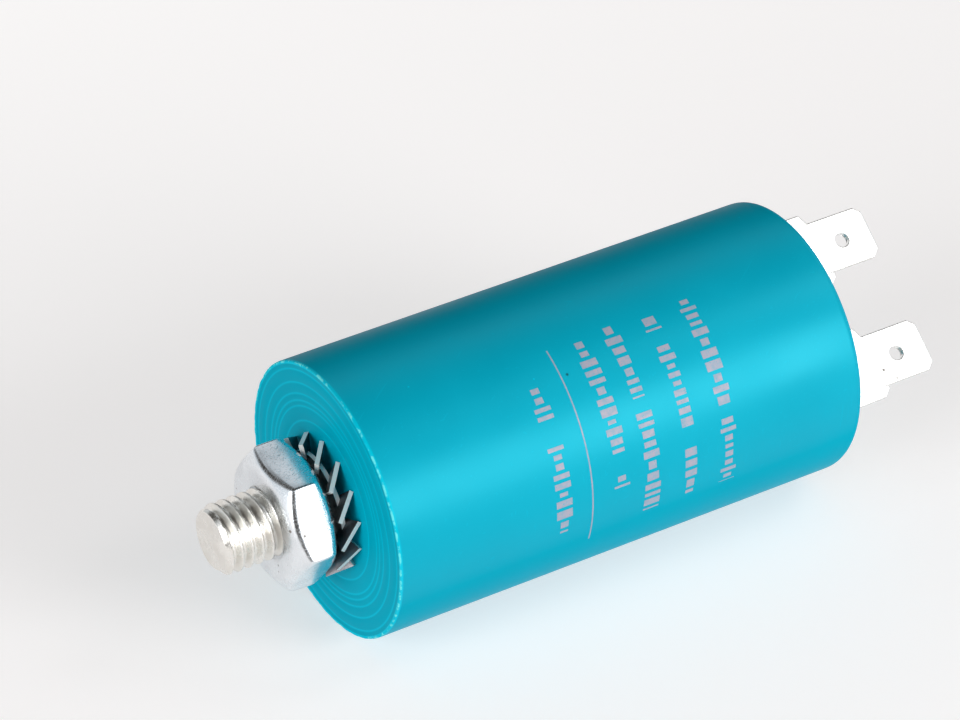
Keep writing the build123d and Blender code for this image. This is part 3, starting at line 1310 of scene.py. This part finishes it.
@dataclass(frozen=True)
class Lamp:
    """A soft square lamp that faces the part."""

    name: str
    towards: Direction
    distance: float
    size: float
    power: float

    def build(self, target: Vector) -> None:
        """Hang the lamp in its direction from the target.

        Args:
            target: What it faces.
        """
        data = bpy.data.lights.new(self.name, "AREA")
        data.shape = "SQUARE"
        data.size = self.size
        data.energy = self.power
        lamp = bpy.data.objects.new(self.name, data)
        direction = Vector(self.towards).normalized()
        lamp.location = target + direction * self.distance
        lamp.rotation_euler = direction.to_track_quat("Z", "Y").to_euler()
        bpy.context.scene.collection.objects.link(lamp)


@dataclass(frozen=True)
class Viewpoint:
    """The camera, as the photograph was taken."""

    place: tuple[float, float, float] = (-0.198144, -0.356408, 0.308975)
    forward: Direction = (0.42461, 0.69503, -0.58020)
    lens: float = 176.25
    clip_start: float = 0.01

    def build(self) -> None:
        """Make the camera and give it to the scene."""
        data = bpy.data.cameras.new("camera")
        data.lens = self.lens
        data.clip_start = self.clip_start
        camera = bpy.data.objects.new("camera", data)
        camera.location = self.place
        camera.rotation_euler = Vector(self.forward).to_track_quat("-Z", "Y").to_euler()
        bpy.context.scene.collection.objects.link(camera)
        bpy.context.scene.camera = camera


@dataclass(frozen=True)
class Studio:
    """A pale floor under soft light, with a sky that has dark parts in reflections."""

    floor_size: float = 3.0
    floor_colour: Colour = (0.66, 0.65, 0.65)
    floor_glow: Colour = (0.452, 0.436, 0.430)
    back_glow: Colour = (0.724, 0.714, 0.704)
    floor_bounce: float = 0.6
    floor_roughness: float = 0.9
    glow_span: Span = (-0.05, 0.30)
    sky: Colour = (0.16, 0.165, 0.17)
    mirror_side: Colour = (0.74, 0.79, 0.83)
    mirror_dark: Colour = (0.05, 0.045, 0.04)
    dark_sides: tuple[tuple[Direction, Span], ...] = (
        ((0.0, 0.0, 1.0), (0.72, 0.84)),
        ((-0.53, -0.85, 0.0), (0.60, 0.85)),
        ((0.45, 0.89, 0.0), (0.78, 0.87)),
        ((-0.55, 0.63, 0.55), (0.90, 0.95)),
    )
    lamps: tuple[Lamp, ...] = (
        Lamp("front_box", (0.46, -0.87, 0.34), 0.60, 0.30, 2.55),
        Lamp("top_box", (0.60, -0.30, 0.74), 0.70, 0.22, 0.5),
        Lamp("left_box", (-0.90, -0.26, 0.35), 0.70, 0.40, 2.6),
    )

    def floor_finish(self) -> bpy.types.Material:
        """Make a matt finish that also glows, most to the camera and in reflections.

        Returns:
            The material.
        """
        material, graph, shader = new_material("floor")
        shader.inputs["Base Color"].default_value = rgba(self.floor_colour)
        shader.inputs["Roughness"].default_value = self.floor_roughness
        place = graph.add("ShaderNodeTexCoord").outputs["Object"]
        depth = graph.add("ShaderNodeSeparateXYZ", {0: place}).outputs[1]
        behind = graph.ramp(depth, *self.glow_span)
        graph.feed(shader.inputs["Emission Color"], graph.mix(behind, rgba(self.floor_glow), rgba(self.back_glow)))
        strength = graph.math("MAXIMUM", self.seen(graph), self.floor_bounce)
        graph.feed(shader.inputs["Emission Strength"], strength)
        return material

    @staticmethod
    def seen(graph: Graph) -> bpy.types.NodeSocket:
        """Tell rays from the camera and in reflections from the rest.

        Args:
            graph: Where the answer is used.

        Returns:
            One for such rays, and zero for the rest.
        """
        path = graph.add("ShaderNodeLightPath")
        seen = graph.math("ADD", path.outputs["Is Camera Ray"], path.outputs["Is Glossy Ray"])
        return graph.math("ADD", seen, path.outputs["Is Transmission Ray"], clamp=True)

    def build_floor(self) -> None:
        """Lay the floor under the part."""
        half = self.floor_size / 2
        height = CAD_BOX[0].z
        mesh = bpy.data.meshes.new("floor")
        corners = [(-half, -half, height), (half, -half, height), (half, half, height), (-half, half, height)]
        mesh.from_pydata(corners, [], [(0, 1, 2, 3)])
        mesh.materials.append(self.floor_finish())
        new_piece("floor", mesh)

    def build_sky(self) -> None:
        """Light the scene evenly, with pale and dark sides for reflections."""
        world = bpy.data.worlds.new("sky")
        bpy.context.scene.world = world
        world.use_nodes = True
        graph = Graph(world.node_tree)
        place = graph.add("ShaderNodeTexCoord").outputs["Generated"]
        dark: object = 0.0
        for side, span in self.dark_sides:
            towards = graph.add("ShaderNodeVectorMath", {0: place, 1: side}, operation="DOT_PRODUCT")
            dark = graph.math("MAXIMUM", dark, graph.ramp(towards.outputs["Value"], *span))
        mirror = graph.mix(dark, rgba(self.mirror_side), rgba(self.mirror_dark))
        background = world.node_tree.nodes["Background"]
        graph.feed(background.inputs["Color"], graph.mix(self.seen(graph), rgba(self.sky), mirror))

    def build(self) -> None:
        """Build the whole studio."""
        self.build_floor()
        self.build_sky()
        target = (CAD_BOX[0] + CAD_BOX[1]) / 2
        for lamp in self.lamps:
            lamp.build(target)
        bpy.context.scene.view_settings.view_transform = "Standard"


def main() -> None:
    """Build the capacitor's pieces in order, then the studio."""
    logging.basicConfig(level=logging.INFO, format="%(name)s: %(message)s")
    effects = Effects()
    Viewpoint().build()
    can_plastic = WaxyPlastic("can_plastic", TEAL, TEAL_SHADE).build(effects)
    lid_plastic = WaxyPlastic("lid_plastic", TEAL, TEAL_SHADE).build(effects)
    nut_zinc = PlatedMetal("nut_zinc", (0.84, 0.87, 0.90), (0.76, 0.79, 0.82), bump=0.05).build(effects)
    stud_zinc = PlatedMetal("stud_zinc", (0.86, 0.84, 0.80), (0.78, 0.75, 0.70), 0.24, spot_share=0.0).build(effects)
    # The washer's dark grey is painted shade: the plated zinc lies in shade between the nut and the can's face.
    dark = ((0.24, 0.24, 0.25), (0.15, 0.15, 0.16))
    washer_zinc = PlatedMetal("washer_zinc", *dark, 0.30, edge_metallic=0.0).build(effects)
    # Dark edge colour of the tabs' upward bevels: painted shade.
    tab_edge_painted_shade = (0.24, 0.23, 0.21)
    tin = PlatedMetal("tinned_sheet", (0.95, 0.95, 0.93), (0.90, 0.89, 0.86), 0.26, tab_edge_painted_shade, scratched=0.04).build(effects)
    rivet_tin = PlatedMetal("rivet_tin", (0.72, 0.72, 0.70), (0.60, 0.59, 0.57), 0.34).build(effects)
    ink = PrintInk("print_ink", (0.40, 0.36, 0.44), TEAL).build(effects)
    Can(can_plastic).dress()
    PrintedMarks(ink).dress()
    Stud(stud_zinc).dress()
    HexNut(nut_zinc).dress()
    ToothWasher(washer_zinc).dress()
    TerminalEnd(lid_plastic, tin, rivet_tin).dress()
    film = InnerFinish("metallised_film", (0.62, 0.64, 0.66), (0.50, 0.52, 0.55), 0.6, 0.3)
    spray = InnerFinish("sprayed_zinc", (0.50, 0.51, 0.52), (0.38, 0.39, 0.40), 0.8, 0.6)
    wire = InnerFinish("tinned_wire", (0.76, 0.75, 0.72), (0.64, 0.62, 0.58), 1.0, 0.3)
    Element(
        {
            "core_tube": InnerFinish("core_plastic", (0.85, 0.85, 0.82), (0.78, 0.78, 0.74), 0.0, 0.5),
            "winding": film,
            "end_spray_stud": spray,
            "end_spray_terminal": spray,
            "lead_long": wire,
            "lead_short": wire,
            "lead_sleeve": InnerFinish("sleeve_plastic", (0.75, 0.72, 0.62), (0.66, 0.62, 0.52), 0.0, 0.35),
            "potting": InnerFinish("potting_resin", (0.16, 0.15, 0.13), (0.11, 0.10, 0.09), 0.0, 0.4),
        }
    ).dress(effects)
    Studio().build()


if __name__ == "__main__":
    main()
